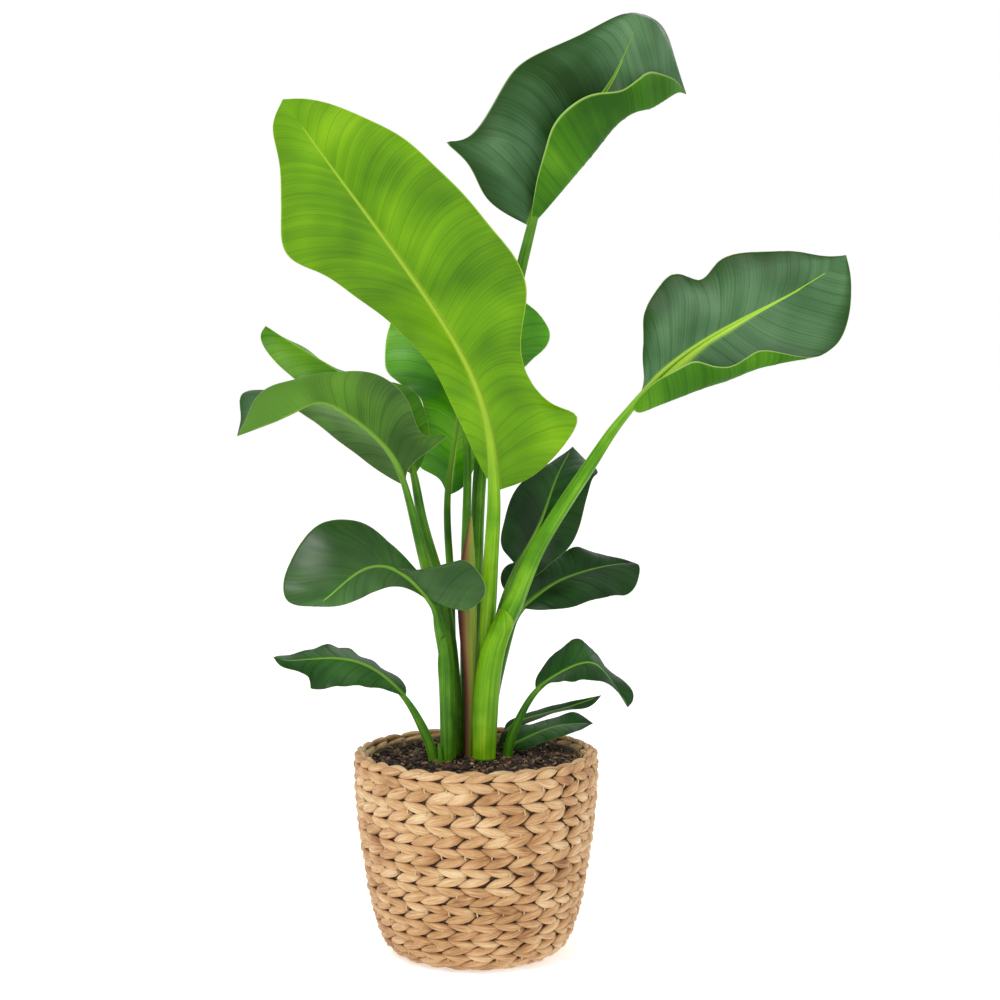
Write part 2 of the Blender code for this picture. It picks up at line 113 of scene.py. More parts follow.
# Each blade: midrib from the petiole to the tip, then the free margin of each half. A belly is
# the line half way across a half that folds or rolls. base is half the width at the petiole,
# and camber is how far a half bows out of flat, as a part of its width.
BLADES = {
    # The young paddle, flat to the front: straight on the left, with a shoulder low on the right.
    "front": {
        "midrib": ((20, -15, 466), (10, -30, 540), (-30, -60, 630), (-125, -115, 765),
                   (-175, -140, 835)),
        "left": ((5, -15, 490), (-35, -25, 575), (-70, -35, 620), (-150, -70, 680),
                 (-180, -90, 700), (-180, -120, 770), (-185, -135, 810)),
        "right": ((55, -10, 480), (90, -15, 515), (100, -20, 540), (80, -25, 550),
                  (45, -40, 600), (50, -60, 660), (30, -75, 705), (-50, -110, 790),
                  (-100, -125, 820), (-150, -140, 835)),
        "base": 5, "camber": -0.07},
    # The highest leaf: cupped, its right half rolled up to show the underside, tip hanging.
    "top": {
        "midrib": ((55, 60, 731), (85, 75, 810), (130, 90, 870), (150, 95, 905),
                   (165, 110, 940), (180, 120, 950), (200, 135, 925), (220, 140, 875)),
        "left": ((10, 50, 760), (-10, 45, 795), (-30, 45, 815), (-10, 50, 820), (35, 60, 885),
                 (80, 75, 915), (145, 105, 950), (170, 125, 957), (195, 145, 945),
                 (210, 150, 910)),
        "right_belly": ((85, 60, 765), (130, 70, 820), (160, 75, 850), (185, 95, 860),
                        (210, 125, 875)),
        "right": ((60, 50, 770), (70, 45, 810), (80, 45, 835), (100, 45, 855), (125, 50, 865),
                  (150, 60, 870), (175, 85, 890), (195, 105, 890), (210, 125, 885)),
        "base": 4, "camber": 0.03},
    # Upright and bright, mostly behind the young paddle; notched low on the left.
    "centre": {
        "midrib": ((-30, 55, 456), (-20, 60, 530), (-15, 80, 595), (-35, 120, 670),
                   (-55, 145, 700)),
        "left": ((-40, 55, 475), (-60, 50, 490), (-55, 55, 550), (-90, 75, 580), (-95, 90, 610),
                 (-90, 100, 635), (-80, 120, 670)),
        "right": ((-10, 60, 470), (10, 80, 540), (20, 90, 585), (15, 105, 630), (-5, 130, 675)),
        "base": 3, "camber": 0.05},
    # Small, close behind the young paddle; only its right point shows.
    "inner": {
        "midrib": ((-8, 30, 554), (10, 30, 620), (30, 35, 685)),
        "left": ((-20, 30, 570), (-30, 30, 600), (-20, 30, 640), (5, 35, 675)),
        "right": ((15, 30, 565), (50, 35, 590), (75, 40, 620), (65, 40, 640), (45, 40, 660)),
        "base": 3, "camber": 0.04},
    # Leans far out to the right: upper half open and waved, lower half folded under.
    "right": {
        "midrib": ((154, -22, 549), (185, -30, 585), (240, -45, 625), (295, -65, 655),
                   (335, -85, 680), (350, -100, 695)),
        "left": ((165, -15, 570), (165, -10, 620), (170, -10, 650), (195, -10, 680),
                 (220, -20, 675), (235, -25, 690), (260, -35, 700), (310, -60, 700),
                 (335, -80, 695)),
        "right_belly": ((160, -30, 545), (175, -35, 550), (235, -55, 575), (270, -70, 590),
                        (305, -80, 605), (330, -90, 635), (345, -95, 665)),
        "right": ((175, -45, 575), (200, -60, 590), (215, -65, 595), (245, -80, 590),
                  (270, -80, 605), (305, -90, 600), (335, -95, 605), (350, -100, 625),
                  (355, -100, 670)),
        "base": 4, "camber": 0.03},
    # Arches over to the left, both halves draped from the midrib, a spur on the right.
    "arching": {
        "midrib": ((-70, -15, 471), (-85, -25, 505), (-120, -50, 540), (-150, -65, 555),
                   (-175, -80, 545), (-225, -100, 525)),
        "left": ((-95, -10, 485), (-165, -30, 540), (-205, -40, 565), (-225, -55, 565),
                 (-225, -75, 545)),
        "right": ((-65, -10, 490), (-30, 10, 520), (-50, 5, 520), (-65, -5, 550),
                  (-85, -15, 575), (-110, -25, 585), (-165, -55, 580), (-205, -85, 565),
                  (-215, -95, 545)),
        "base": 4, "camber": -0.10},
    # Behind the arching leaf; only its pointed tip stands clear.
    "rear_left": {
        "midrib": ((-62, 8, 479), (-70, 10, 505), (-85, 10, 535), (-110, 20, 565),
                   (-175, 45, 605), (-215, 50, 630)),
        "left": ((-80, 0, 495), (-95, 0, 515), (-130, 10, 545), (-165, 20, 565),
                 (-205, 40, 595), (-220, 50, 620)),
        "right": ((-50, 15, 505), (-60, 35, 560), (-120, 50, 580), (-145, 50, 585),
                  (-170, 50, 605), (-200, 55, 620)),
        "base": 4, "camber": 0.06},
    # Its far half lies open to the left; its near half twists back over the stalks.
    "twisted": {
        "midrib": ((-42, -28, 354), (-65, -35, 380), (-90, -50, 395), (-115, -70, 390),
                   (-140, -85, 370), (-155, -85, 360)),
        "left": ((-55, -35, 365), (-80, -50, 375), (-115, -80, 365), (-135, -85, 360)),
        "right": ((-30, -30, 355), (-15, -40, 350), (0, -40, 355), (10, -45, 370),
                  (5, -40, 385), (-15, -35, 400), (-50, -25, 385), (-70, -20, 400),
                  (-100, -30, 430), (-130, -40, 440), (-155, -50, 435), (-180, -65, 400),
                  (-185, -80, 380), (-180, -85, 365)),
        "base": 3, "camber": 0.05},
    # Low and drawn out to a fine point, with a step in its lower margin.
    "low_left": {
        "midrib": ((-70, -25, 261), (-100, -35, 290), (-140, -55, 305), (-180, -70, 305),
                   (-195, -80, 310)),
        "left": ((-85, -40, 270), (-130, -70, 280), (-160, -80, 280), (-160, -80, 290),
                 (-185, -80, 300)),
        "right": ((-70, -15, 270), (-80, -10, 280), (-110, -20, 300), (-145, -35, 315),
                  (-175, -55, 310), (-190, -70, 310)),
        "base": 3, "camber": 0.04},
    # Low, arched over, its tip pointing down.
    "low_right": {
        "midrib": ((60, -5, 264), (80, -10, 280), (110, -20, 295), (125, -30, 290),
                   (150, -45, 255)),
        "left": ((60, 0, 275), (70, 10, 290), (85, 10, 305), (105, 5, 315), (130, -10, 290),
                 (155, -35, 270), (155, -40, 260)),
        "right": ((75, -20, 275), (95, -40, 280), (125, -45, 280), (145, -50, 265)),
        "base": 3, "camber": 0.04},
    # Lies just above the soil and the rim, in whole millimetres to stay clear of both.
    "low_broad": {
        "midrib": ((34, 20, 203), (50, 25, 210), (80, 35, 220), (120, 50, 221)),
        "left": ((24, 30, 212), (35, 38, 218), (70, 48, 224), (100, 54, 232), (110, 54, 228)),
        "right": ((45, 14, 200), (65, 14, 207), (100, 28, 216), (110, 38, 218)),
        "base": 3, "camber": 0.05},
    # A narrow one just above it.
    "low_narrow": {
        "midrib": ((28, 43, 211), (40, 48, 221), (75, 62, 230), (110, 76, 238), (130, 80, 245)),
        "left": ((30, 50, 220), (40, 55, 226), (75, 70, 235), (115, 80, 242)),
        "right": ((40, 42, 218), (55, 46, 223), (90, 62, 232), (115, 74, 233), (125, 78, 239)),
        "base": 2.5, "camber": 0.05},
    # Upright behind the right-hand stalk.
    "mid_right": {
        "midrib": ((41, 27, 387), (65, 40, 430), (80, 55, 470), (100, 95, 505)),
        "left": ((30, 25, 400), (25, 20, 412), (35, 30, 455), (50, 40, 475), (85, 80, 495)),
        "right": ((55, 20, 376), (75, 20, 390), (100, 30, 415), (120, 60, 475), (125, 70, 480),
                  (110, 90, 495)),
        "base": 3, "camber": 0.05},
    # Below it, held out level to the right.
    "mid_lower": {
        "midrib": ((45, 42, 342), (70, 50, 360), (90, 60, 370), (130, 80, 380), (165, 95, 383)),
        "left": ((32, 42, 357), (25, 45, 368), (30, 50, 384), (75, 75, 390), (105, 90, 400),
                 (130, 95, 392), (150, 95, 388)),
        "right": ((65, 35, 341), (100, 35, 345), (135, 50, 353), (160, 65, 356), (170, 90, 380)),
        "base": 3, "camber": 0.05},
}

# Each stalk, from just under its blade down to the soil: (x, y, z, radius).
STALKS = {
    "front": ((18, -15, 460, 6.5), (15, -8, 400, 7.5), (12, 0, 345, 8), (7, 8, 280, 8),
              (5, 8, SOIL_TOP, 7.5)),
    "top": ((55, 60, 727, 5), (30, 55, 625, 6.5), (12, 50, 545, 7), (2, 42, 455, 7),
            (-1, 32, 330, 7), (-3, 28, SOIL_TOP, 7)),
    "centre": ((-30, 55, 452, 3.5), (-27, 45, 380, 4), (-25, 37, 310, 4),
               (-19, 31, SOIL_TOP, 4)),
    "inner": ((-9, 29, 549, 3.5), (-9, 28, 500, 4), (-11, 24, 405, 4.5), (-12, 20, 270, 4.5),
              (-13, 19, SOIL_TOP, 4.5)),
    "right": ((150, -22, 545, 4), (135, -22, 526, 5), (110, -22, 488, 6.5), (60, -18, 407, 8),
              (38, -15, 355, 9.5), (18, -14, 310, 11), (9, -14, 235, 11.5),
              (8, -14, SOIL_TOP, 10.5)),
    "arching": ((-69, -15, 467, 3.5), (-50, -10, 390, 5.5), (-31, -5, 315, 6.5),
                (-27, -7, 265, 6.5), (-26, -9, SOIL_TOP, 6)),
    "rear_left": ((-61, 8, 474, 4), (-54, 10, 435, 5), (-40, 12, 385, 5.5), (-31, 12, 345, 6),
                  (-22, 9, 265, 6.5), (-21, 7, SOIL_TOP, 6)),
    "twisted": ((-41, -28, 350, 3), (-38, -25, 335, 4), (-33, -21, 308, 5), (-30, -22, 268, 5),
                (-29, -24, SOIL_TOP, 5)),
    "low_left": ((-69, -24, 258, 3), (-55, -20, 233, 4.5), (-46, -19, 212, 5),
                 (-42, -19, SOIL_TOP, 5)),
    "low_right": ((58, -5, 261, 3), (43, -4, 235, 4), (35, -3, 215, 5), (31, -2, SOIL_TOP, 5)),
    "low_broad": ((32, 20, 202.4, 2), (31, 20, 200.8, 2.2), (31, 20, SOIL_TOP, 2.4)),
    "low_narrow": ((27, 43, 209, 2), (25, 42, 204, 2.4), (24, 41, SOIL_TOP, 2.6)),
    "mid_right": ((40, 27, 383, 3), (23, 22, 335, 4), (17, 21, 300, 4), (14, 21, 250, 4.5),
                  (14, 21, SOIL_TOP, 4.5)),
    "mid_lower": ((44, 42, 338, 3), (35, 41, 318, 3.5), (26, 40, 284, 4), (18, 40, 243, 4),
                  (15, 40, SOIL_TOP, 4)),
}
NEW_LEAF_SHEATH = ((-5, -2, 440, 1), (-8, -2, 395, 7), (-9, -2, 350, 9.5), (-7, -3, 295, 7.5),
                   (-6, -3, 255, 6), (-8, -1, SOIL_TOP, 5))
SPROUT = ((-37, -32, 216, 1), (-36, -32, 209, 2), (-35, -32, SOIL_TOP, 2.5))

# How each leaf looks: finish of the side that the blade's outline faces, finish of the other
# side, height and number of the ruffles along its margins, and the record's slot.
LEAVES = {
    "front": ("young", "young", 1.6, 7, "young_leaf"),
    "top": ("grown", "underside", 1.2, 6, "grown_leaf"),
    "centre": ("bright", "underside", 2.2, 6, "bright_leaf"),
    "inner": ("bright", "underside", 2.0, 5, "grown_leaf"),
    "right": ("grown", "underside", 1.4, 6, "grown_leaf"),
    "arching": ("moss", "grown", 1.2, 5, "grown_leaf"),
    "rear_left": ("underside", "shaded_deep", 1.2, 6, "grown_leaf"),
    "twisted": ("wet", "underside", 1.0, 5, "low_leaf"),
    # The low and middle leaves take the darker tone that paints the shade deep in the clump.
    "low_left": ("shaded_deep", "underside", 1.6, 6, "low_leaf"),
    "low_right": ("shaded_deep", "underside", 1.0, 5, "low_leaf"),
    "low_broad": ("shaded_deep", "underside", 0.8, 5, "low_leaf"),
    "low_narrow": ("shaded_deep", "underside", 0.8, 5, "low_leaf"),
    "mid_right": ("shaded_deep", "underside", 1.2, 5, "low_leaf"),
    "mid_lower": ("shaded_deep", "underside", 1.2, 5, "low_leaf"),
}

# How strongly each tone's cuticle shines, how far its margin darkens, and how far it brightens
# towards the tip, a painted highlight where the arching leaf curves forward into the light.
CUTICLE_SHINE = {"wet": 0.5, "moss": 0.3, "shaded_deep": 0.25, "bright": 0.3}
EDGE_SHADE = {"grown": 0.85, "shaded_deep": 0.4}
PAINTED_TIP_LIGHT = {"moss": 0.55}

# The share of the blade's length at which the raised midrib sinks into the leaf.
RIB_REACH = {"top": 0.62, "right": 0.84}

# Leaf tissue colours: shade, middle, light, midrib, margin.
TISSUE = {
    "young": ("#437400", "#659A00", "#8FC012", "#93B02A", "#A0C63C"),
    "grown": ("#1B4009", "#40683E", "#6B9066", "#B0DC40", "#86AA62"),
    "bright": ("#2C7002", "#54A20C", "#9AD250", "#B4DC4C", "#A6CF6A"),
    "underside": ("#235400", "#3D7800", "#70A81C", "#86B638", "#A2C860"),
    "moss": ("#1F4206", "#385E1C", "#64982A", "#7CA43A", "#86A864"),
    "wet": ("#143A06", "#27540E", "#4F7F38", "#84BC34", "#74A04E"),
    # Painted shade: the deep tone is a darker copy of the tissue, for leaves low and deep in the
    # clump.
    "shaded_deep": ("#0F2C0A", "#1E4A16", "#3E6E2E", "#62982F", "#4E8030"),
}


# ---------------------------------------------------------------- materials
def linear(colour):
    """An sRGB hex colour as linear numbers: c/12.92 when dark, ((c + 0.055)/1.055)^2.4 above."""
    c = np.array([int(colour[i:i + 2], 16) / 255 for i in (1, 3, 5)])
    return (*np.where(c <= 0.04045, c / 12.92, ((c + 0.055) / 1.055) ** 2.4), 1.0)


def wire(tree, node, links):
    """Link or set a node's inputs. A node as a value stands for its first output in use."""
    for key, value in dict(links).items():
        if isinstance(value, bpy.types.Node):
            value = next(out for out in value.outputs if out.enabled)
        if isinstance(value, bpy.types.NodeSocket):
            tree.links.new(value, node.inputs[key])
        else:
            node.inputs[key].default_value = value


def add(tree, kind, links=(), stops=(), **settings):
    """Add a node: set its properties, fill a ramp's stops, and link or set its inputs."""
    made = tree.nodes.new("ShaderNode" + kind)
    for key, value in settings.items():
        setattr(made, key, value)
    if stops:
        ramp = made.color_ramp.elements
        while len(ramp) < len(stops):
            ramp.new(1.0)
        for element, (place, colour) in zip(ramp, stops):
            element.position = place
            element.color = linear(colour)
    wire(tree, made, links)
    return made


def weighted_sum(tree, *terms):
    """The sum of some outputs, each times its weight."""
    total = 0.0
    for value, weight in terms:
        total = add(tree, "Math", {0: value, 1: weight, 2: total}, operation="MULTIPLY_ADD")
    return total


def layered(tree, base, *layers):
    """A base with flat colours laid over it in turn, each as strong as its factor."""
    for factor, colour in layers:
        base = add(tree, "Mix", {"Factor": factor, "A": base, "B": linear(colour)},
                   data_type="RGBA")
    return base


def new_material(name, **shader_values):
    """A named material; numbers that are the same everywhere go on the shader's own sockets."""
    made = bpy.data.materials.new(name)
    made.use_nodes = True
    shader = made.node_tree.nodes["Principled BSDF"]
    for key, value in shader_values.items():
        shader.inputs[key.replace("_", " ")].default_value = value
    return made, made.node_tree, shader


def greyscale(low, high):
    """Ramp stops from black to white between two places."""
    return ((low, "#000000"), (high, "#FFFFFF"))


def leaf_tissue(tone):
    """Living leaf with a waxy cuticle: soft gloss, a little light through it, streaks that
    follow the side veins, a pale midrib strip and a thin pale margin."""
    shade, middle, light, rib, margin = TISSUE[tone]
    made, tree, shader = new_material(
        f"waxy leaf tissue, {tone}", IOR=1.45, Subsurface_Weight=0.05, Subsurface_Scale=0.002,
        Specular_IOR_Level=CUTICLE_SHINE.get(tone, 0.2))
    veins = add(tree, "UVMap", uv_map="veins")
    leaf = add(tree, "SeparateXYZ", {0: add(tree, "UVMap", uv_map="leaf")})
    beside = add(tree, "SeparateXYZ", {0: add(tree, "UVMap", uv_map="rib")})
    place = add(tree, "TexCoord").outputs["Object"]
    # Side veins: about 1.7 mm apart, running unbroken from the midrib to the margin.
    fine = add(tree, "Mapping", {"Vector": veins, "Scale": (600.0, 7.0, 1.0)})
    streak = add(tree, "TexNoise", {"Vector": fine, "Scale": 1.0, "Detail": 4.0,
                                    "Roughness": 0.6})
    # Broader bands of colour, about 12 mm wide, and clouds of about 90 mm.
    broad = add(tree, "Mapping", {"Vector": veins, "Scale": (80.0, 5.0, 1.0)})
    band = add(tree, "TexNoise", {"Vector": broad, "Scale": 1.0, "Detail": 2.0})
    cloud = add(tree, "TexNoise", {"Vector": place, "Scale": 11.0, "Detail": 2.0})
    # The main side veins: one every 3.2 mm, not quite evenly.
    even = add(tree, "TexWave", {"Vector": veins, "Scale": 98.0, "Distortion": 1.5,
                                 "Detail": 1.0, "Detail Scale": 0.4}, bands_direction="X")
    mixed = weighted_sum(tree, (streak, 0.13), (even.outputs["Fac"], 0.025), (band, 0.20),
                         (cloud, 0.63))
    flesh = add(tree, "ValToRGB", {"Fac": mixed},
                stops=((0.37, shade), (0.51, middle), (0.70, light)))
    # Painted shade: the creases along the side veins are darkened to thin dark lines. A wave
    # texture's bands lie 2 pi / 20 apart at scale 1.
    folds = add(tree, "TexWave", {"Vector": veins, "Scale": 2 * pi / 20 / (PLEAT_PITCH * MM)},
                bands_direction="X")
    crease = add(tree, "ValToRGB", {"Fac": folds.outputs["Fac"]},
                 stops=((0.0, "#A8A8A8"), (0.03, "#404040"), (0.09, "#000000")))
    # Some tones deepen towards the margin, and some brighten towards the tip as painted light.
    across = add(tree, "Math", {0: leaf.outputs["X"]}, operation="ABSOLUTE")
    outer = add(tree, "MapRange", {"Value": across, "From Min": 0.62, "From Max": 1.0,
                                   "To Max": EDGE_SHADE.get(tone, 0.0)})
    tip_highlight = add(tree, "MapRange", {"Value": leaf.outputs["Y"], "From Min": 0.42,
                                     "From Max": 0.72, "To Max": PAINTED_TIP_LIGHT.get(tone, 0.0)})
    strip = add(tree, "ValToRGB", {"Fac": beside.outputs["X"]},
                stops=((0.35, "#F0F0F0"), (0.75, "#505050"), (1.0, "#000000")))
    rim = add(tree, "ValToRGB", {"Fac": across}, stops=greyscale(0.984, 0.998))
    colour = layered(tree, flesh, (crease, shade), (outer, shade), (tip_highlight, light),
                     (strip, rib), (rim, margin))
    # The cuticle is smoother in some bands than in others.
    gloss = add(tree, "MapRange", {"Value": band, "To Min": 0.28, "To Max": 0.50})
    bump = add(tree, "Bump", {"Height": streak, "Strength": 0.22, "Distance": 0.0004})
    wire(tree, shader, {"Base Color": colour, "Roughness": gloss, "Normal": bump})
    return made


def stalk_skin(name, shade, middle, light, rib):
    """Smooth green petiole skin: fine lengthwise fibres, waxy gloss, paler on the midrib."""
    made, tree, shader = new_material(name, Roughness=0.36, IOR=1.45, Subsurface_Weight=0.1,
                                      Subsurface_Scale=0.003, Specular_IOR_Level=0.25)
    # Fibres 1.8 mm apart round a stalk about 15 mm thick, drawn out along it.
    drawn = add(tree, "Mapping", {"Vector": add(tree, "UVMap", uv_map="skin"),
                                  "Scale": (26.0, 9.0, 1.0)})
    fibre = add(tree, "TexNoise", {"Vector": drawn, "Scale": 1.0, "Detail": 5.0})
    place = add(tree, "TexCoord").outputs["Object"]
    cloud = add(tree, "TexNoise", {"Vector": place, "Scale": 30.0, "Detail": 3.0})
    flesh = add(tree, "ValToRGB", {"Fac": weighted_sum(tree, (fibre, 0.55), (cloud, 0.45))},
                stops=((0.34, shade), (0.50, middle), (0.68, light)))
    reach = add(tree, "SeparateXYZ", {0: add(tree, "UVMap", uv_map="share")})
    upper = add(tree, "ValToRGB", {"Fac": reach.outputs["X"]}, stops=greyscale(0.48, 0.62))
    bump = add(tree, "Bump", {"Height": fibre, "Strength": 0.25, "Distance": 0.0004})
    wire(tree, shader, {"Base Color": layered(tree, flesh, (upper, rib)), "Normal": bump})
    return made


def hyacinth_fibre():
    """Dried water hyacinth stem, flattened and plaited: dull, wrinkled lengthwise, straw to brown,
    with painted shade where a strand dives under its neighbours."""
    made, tree, shader = new_material("dried water hyacinth strand", Roughness=0.62, IOR=1.5,
                                      Sheen_Weight=0.12, Sheen_Roughness=0.5)
    # Wrinkles about 1.5 mm apart round a strand and some 22 mm long.
    drawn = add(tree, "Mapping", {"Vector": add(tree, "UVMap", uv_map="skin"),
                                  "Scale": (22.0, 45.0, 1.0)})
    fibre = add(tree, "TexNoise", {"Vector": drawn, "Scale": 1.0, "Detail": 6.0,
                                   "Roughness": 0.65})
    place = add(tree, "TexCoord").outputs["Object"]
    patch = add(tree, "TexNoise", {"Vector": place, "Scale": 34.0, "Detail": 3.0})
    lobe = add(tree, "SeparateXYZ", {0: add(tree, "UVMap", uv_map="share")})
    mixed = weighted_sum(tree, (fibre, 0.52), (lobe.outputs["Y"], 0.09), (patch, 0.34))
    straw = add(tree, "ValToRGB", {"Fac": mixed},
                stops=((0.27, "#6E4522"), (0.38, "#A87644"), (0.49, "#D0A470"),
                       (0.61, "#EBCFA2")))
    # Painted shade: dark brown where a lobe's end dives under its neighbours.
    unshaded = add(tree, "ValToRGB", {"Fac": lobe.outputs["X"]}, stops=greyscale(0.02, 0.36))
    colour = add(tree, "Mix", {"Factor": unshaded, "A": linear("#5E3C1E"), "B": straw},
                 data_type="RGBA")
    bump = add(tree, "Bump", {"Height": fibre, "Strength": 0.9, "Distance": 0.0010})
    wire(tree, shader, {"Base Color": colour, "Normal": bump})
    return made


def mottled(name, stops, per_metre, roughness, bump_strength=0.4, distance=0.0008):
    """An earthy solid: noise at the grain's own size, given as grains per metre, picks the
    colour and lifts the surface."""
    made, tree, shader = new_material(name, Roughness=roughness)
    place = add(tree, "TexCoord").outputs["Object"]
    grain = add(tree, "TexNoise", {"Vector": place, "Scale": per_metre, "Detail": 6.0,
                                   "Roughness": 0.65})
    bump = add(tree, "Bump", {"Height": grain, "Strength": bump_strength,
                              "Distance": distance})
    wire(tree, shader, {"Base Color": add(tree, "ValToRGB", {"Fac": grain}, stops=stops),
                        "Normal": bump})
    return made


def bark_material():
    """Composted bark: each chip its own brown, from near black to a few tan ones."""
    made, tree, shader = new_material("composted bark chips", Roughness=0.85)
    chance = add(tree, "SeparateXYZ", {0: add(tree, "UVMap", uv_map="share")})
    place = add(tree, "TexCoord").outputs["Object"]
    # Flakes of bark about 1.7 mm across.
    grain = add(tree, "TexNoise", {"Vector": place, "Scale": 600.0, "Detail": 4.0})
    mixed = weighted_sum(tree, (chance.outputs["X"], 1.0), (grain, 0.35))
    colour = add(tree, "ValToRGB", {"Fac": mixed},
                 stops=((0.15, "#150D09"), (0.55, "#2E1E15"), (0.90, "#4C3526"),
                        (1.12, "#80603F")))
    bump = add(tree, "Bump", {"Height": grain, "Strength": 0.6, "Distance": 0.0006})
    wire(tree, shader, {"Base Color": colour, "Normal": bump})
    return made


def sheath_skin():
    """The papery, partly dried sheath round the rolled leaf: maroon and brown on its left,
    turning green on its right, with a pale dry edge."""
    made, tree, shader = new_material("drying leaf sheath", Roughness=0.5, Specular_IOR_Level=0.25,
                                      Subsurface_Weight=0.05)
    skin = add(tree, "UVMap", uv_map="skin")
    drawn = add(tree, "Mapping", {"Vector": skin, "Scale": (22.0, 8.0, 1.0)})
    fibre = add(tree, "TexNoise", {"Vector": drawn, "Scale": 1.0, "Detail": 5.0})
    turn = add(tree, "SeparateXYZ", {0: skin})
    # Round the stalk: 0.25 is its left, 0.5 its front and 0.75 its right.
    colour = add(tree, "ValToRGB",
                 {"Fac": weighted_sum(tree, (turn.outputs["X"], 1.0), (fibre, 0.16))},
                 stops=((0.36, "#3A1410"), (0.46, "#5C2E24"), (0.54, "#7E5A34"),
                        (0.63, "#7C8C2A"), (0.78, "#A0B050"), (0.86, "#D9C9A6")))
    bump = add(tree, "Bump", {"Height": fibre, "Strength": 0.3, "Distance": 0.0005})
    wire(tree, shader, {"Base Color": colour, "Normal": bump})
    return made


# ---------------------------------------------------------------- surfaces
def unit(vectors):
    """Vectors scaled to length one."""
    return vectors / np.maximum(np.linalg.norm(vectors, axis=-1, keepdims=True), 1e-9)


def smooth_through(points, count):
    """Points at equal parts of the length of a natural cubic through the given points."""
    points = np.array(points, dtype=float)
    chord = np.sqrt(np.linalg.norm(np.diff(points[:, :3], axis=0), axis=1))
    knots = np.concatenate(([0.0], np.cumsum(chord)))
    size = len(points)
    step = np.diff(knots)
    system = np.eye(size)
    pull = np.zeros_like(points)
    for i in range(1, size - 1):
        system[i, i - 1:i + 2] = step[i - 1], 2 * (step[i - 1] + step[i]), step[i]
        pull[i] = 6 * ((points[i + 1] - points[i]) / step[i]
                       - (points[i] - points[i - 1]) / step[i - 1])
    bend = np.linalg.solve(system, pull)

    def at(t):
        i = np.clip(np.searchsorted(knots, t, side="right") - 1, 0, size - 2)
        h, a, b = step[i][:, None], (knots[i + 1] - t)[:, None], (t - knots[i])[:, None]
        return (bend[i] * a ** 3 + bend[i + 1] * b ** 3) / (6 * h) \
            + (points[i] / h - bend[i] * h / 6) * a + (points[i + 1] / h - bend[i + 1] * h / 6) * b

    fine = np.linspace(0, knots[-1], FINE_STEPS)
    run = np.linalg.norm(np.diff(at(fine)[:, :3], axis=0), axis=1)
    length = np.concatenate(([0.0], np.cumsum(run)))
    return at(np.interp(np.linspace(0, length[-1], count), length, fine))


def lumps(points, size, seed):
    """Smooth random relief: the mean of sines of random direction, each about size long."""
    waves = 24
    rng = np.random.default_rng(seed)
    ways = unit(rng.normal(size=(waves, 3))) * (2 * pi / size)
    ways = ways * rng.uniform(0.6, 1.6, (waves, 1))
    return np.sin(points @ ways.T + rng.uniform(0, 2 * pi, waves)).mean(axis=-1) * 3


def make_piece(name, grids, finishes, stands_for=(), wrap=(False, True), caps=True,
               uvs=None, second_from=None):
    """One mesh from grids of points (grid, row, column, xyz) in millimetres.

    wrap joins the last row or column to the first, caps closes the end rows, and uvs holds for
    each map a value per row and column, with one more of each where the grid wraps. Columns
    from second_from on take the second finish."""
    grids = np.asarray(grids, dtype=float)
    count, rows, columns, _ = grids.shape
    row = np.arange(rows - 1 + wrap[0])[:, None, None] + np.array([0, 0, 1, 1])
    column = np.arange(columns - 1 + wrap[1])[None, :, None] + np.array([0, 1, 1, 0])
    row, column = np.broadcast_arrays(row, column)
    quads = ((row % rows) * columns + column % columns).reshape(-1, 4)
    starts = np.arange(count)[:, None, None] * rows * columns
    faces = (quads[None] + starts).reshape(-1, 4)
    points = grids.reshape(-1, 3) * MM
    ends = []
    if caps:
        for start in range(0, count * rows * columns, rows * columns):
            ends.append(list(range(start + columns - 1, start - 1, -1)))
            ends.append(list(range(start + (rows - 1) * columns, start + rows * columns)))
    corners = points[faces]
    volume = np.einsum("ij,ij->", corners[:, 0], np.cross(corners[:, 1], corners[:, 2])) \
        + np.einsum("ij,ij->", corners[:, 0], np.cross(corners[:, 2], corners[:, 3]))
    inside_out = volume < 0
    if inside_out:
        faces = faces[:, ::-1]
        ends = [end[::-1] for end in ends]
    mesh = bpy.data.meshes.new(name)
    mesh.from_pydata(points.tolist(), [], faces.tolist() + ends)
    for label, values in (uvs or {}).items():
        values = np.asarray(values, dtype=float)
        if values.ndim == 3:
            values = np.broadcast_to(values, (count, *values.shape))
        spots = values[:, row, column].reshape(-1, 4, 2)
        if inside_out:
            spots = spots[:, ::-1]
        layer = mesh.uv_layers.new(name=label)
        flat = np.zeros((len(mesh.loops), 2))
        flat[:spots.shape[0] * 4] = spots.reshape(-1, 2)
        layer.data.foreach_set("uv", flat.ravel())
    for finish in finishes:
        mesh.materials.append(finish)
    if second_from is not None:
        index = np.zeros(len(mesh.polygons), dtype=np.int32)
        index[:len(faces)] = np.tile(column[..., 0].ravel() >= second_from, count)
        mesh.polygons.foreach_set("material_index", index)
    mesh.shade_smooth()
    thing = bpy.data.objects.new(name, mesh)
    bpy.context.scene.collection.objects.link(thing)
    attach(thing, "root")
    if stands_for:
        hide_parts(*stands_for)
    return thing


def even_uv(rows, columns, length):
    """UV that runs 0 to 1 across the columns and in metres along the rows."""
    u, v = np.meshgrid(np.linspace(0, 1, columns), np.linspace(0, length * MM, rows))
    return np.stack((u, v), axis=-1)


# ---------------------------------------------------------------- leaves
def margin_line(midrib, margin, base):
    """A margin with its ends set just beside the midrib's ends."""
    midrib, margin = np.array(midrib, float), np.array(margin, float)
    first = midrib[0] + unit(margin[0] - midrib[0]) * base
    last = midrib[-1] + unit(margin[-1] - midrib[-1]) * TIP_HALF_WIDTH
    return smooth_through(np.vstack((first, margin, last)), BLADE_ROWS)


